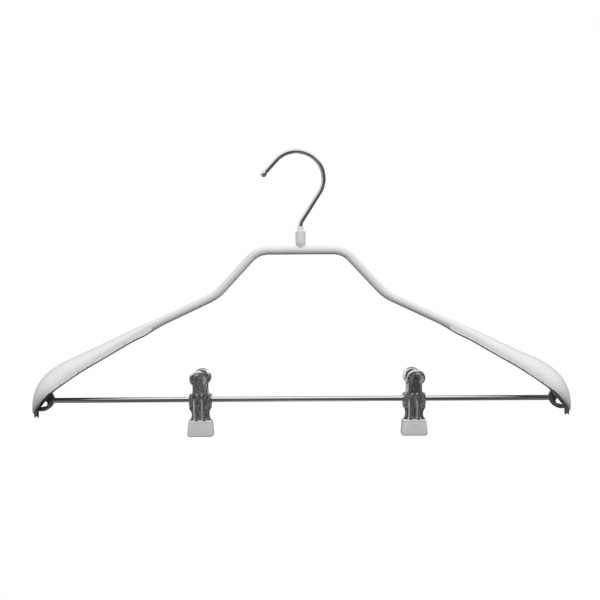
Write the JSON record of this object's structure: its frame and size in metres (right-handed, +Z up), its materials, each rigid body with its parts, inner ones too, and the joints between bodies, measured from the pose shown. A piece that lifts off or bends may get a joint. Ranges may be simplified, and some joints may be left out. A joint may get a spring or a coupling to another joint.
{
  "type": "skirt hanger",
  "caption": "Skirt hanger: white coated wire frame with wide shoulders, a turning hook, and a lower bar with sliding spring clips.",
  "frame": {"origin": "the inside of the hook's crown, where it rests on the rail", "axes": "+X along the bar to the viewer's right, +Y towards the back, +Z up"},
  "size_m": [0.4148, 0.044, 0.2227],
  "materials": {
    "chrome": "bright",
    "bright_chrome": "bright",
    "dark_chrome": "bright",
    "steel": "drawn",
    "plate_steel": "satin",
    "spring_steel": "satin",
    "nylon": "satin",
    "white_coat": "soft matte",
    "white_pad": "satin"
  },
  "bodies": {
    "hook": {"hook_wire": "chrome", "hook_ball_tip": "bright_chrome"},
    "frame": {"neck_bush": "nylon", "neck_sleeve": "steel", "frame_wire": "steel", "frame_coating": "white_coat", "left_blade_plate": "plate_steel", "right_blade_plate": "plate_steel", "left_blade_coating": "white_coat", "right_blade_coating": "white_coat", "left_bar_bracket": "dark_chrome", "right_bar_bracket": "dark_chrome", "lower_bar": "chrome"},
    "left_clip_runner": {"left_pivot_tube": "dark_chrome"},
    "left_rear_jaw": {"left_rear_lever": "dark_chrome", "left_rear_pad": "white_pad", "left_spring": "spring_steel"},
    "left_front_jaw": {"left_front_lever": "dark_chrome", "left_front_pad": "white_pad"},
    "right_clip_runner": {"right_pivot_tube": "dark_chrome"},
    "right_rear_jaw": {"right_rear_lever": "dark_chrome", "right_rear_pad": "white_pad", "right_spring": "spring_steel"},
    "right_front_jaw": {"right_front_lever": "dark_chrome", "right_front_pad": "white_pad"}
  },
  "joints": [
    {"name": "hook_swivel", "type": "hinge", "parent": "hook", "child": "frame", "pos_m": [0.003, 0, -0.06052], "axis": [0, 0, 1], "continuous": true},
    {"name": "left_clip_slide", "type": "slide", "parent": "frame", "child": "left_clip_runner", "axis": [1, 0, 0], "range_m": [-0.06, 0.06]},
    {"name": "left_clip_swing", "type": "hinge", "parent": "left_clip_runner", "child": "left_rear_jaw", "pos_m": [-0.0754, 0, -0.19078], "axis": [1, 0, 0], "continuous": true},
    {"name": "left_clip_open", "type": "hinge", "parent": "left_rear_jaw", "child": "left_front_jaw", "pos_m": [-0.0754, 0, -0.19078], "axis": [-1, 0, 0], "range_deg": [0, 50], "stiffness_Nm_per_rad": 0.15, "springref_deg": -57.3, "deforming": ["left_spring"]},
    {"name": "right_clip_slide", "type": "slide", "parent": "frame", "child": "right_clip_runner", "axis": [1, 0, 0], "range_m": [-0.07, 0.052]},
    {"name": "right_clip_swing", "type": "hinge", "parent": "right_clip_runner", "child": "right_rear_jaw", "pos_m": [0.0903, 0, -0.19078], "axis": [1, 0, 0], "continuous": true},
    {"name": "right_clip_open", "type": "hinge", "parent": "right_rear_jaw", "child": "right_front_jaw", "pos_m": [0.0903, 0, -0.19078], "axis": [-1, 0, 0], "range_deg": [0, 50], "stiffness_Nm_per_rad": 0.15, "springref_deg": -57.3, "deforming": ["right_spring"]}
  ]
}
